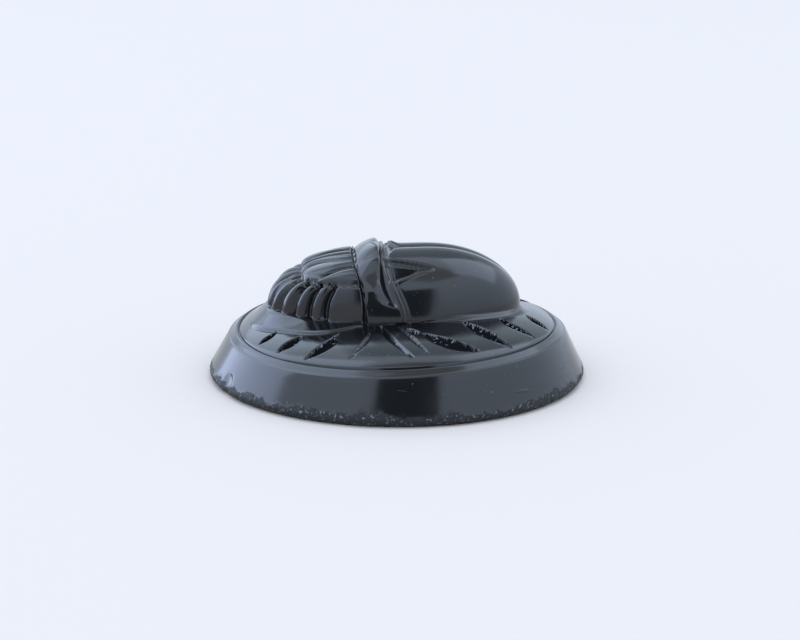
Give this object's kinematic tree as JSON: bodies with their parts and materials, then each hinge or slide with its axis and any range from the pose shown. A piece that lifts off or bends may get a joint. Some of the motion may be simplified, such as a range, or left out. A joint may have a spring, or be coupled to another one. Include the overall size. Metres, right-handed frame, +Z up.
{
  "type": "sew on button",
  "caption": "Round pressed-glass sew-on button with a bevelled rim, an oval domed and ribbed relief, and a wire loop shank recessed in the back.",
  "frame": {"origin": "centre of the flat back, at the level the button rests on", "axes": "+Z up through the face of the button; +X along the long axis of the relief, toward its smooth half; +Y across the relief"},
  "size_m": [0.027, 0.027, 0.0096],
  "materials": {
    "black_glass": "polished, worn",
    "cement": "rough",
    "plate_brass": "aged satin",
    "wire_brass": "aged satin"
  },
  "bodies": {
    "root": {"glass_body": "black_glass", "shank_cement": "cement", "shank_plate": "plate_brass", "shank_loop": "wire_brass"}
  },
  "joints": []
}
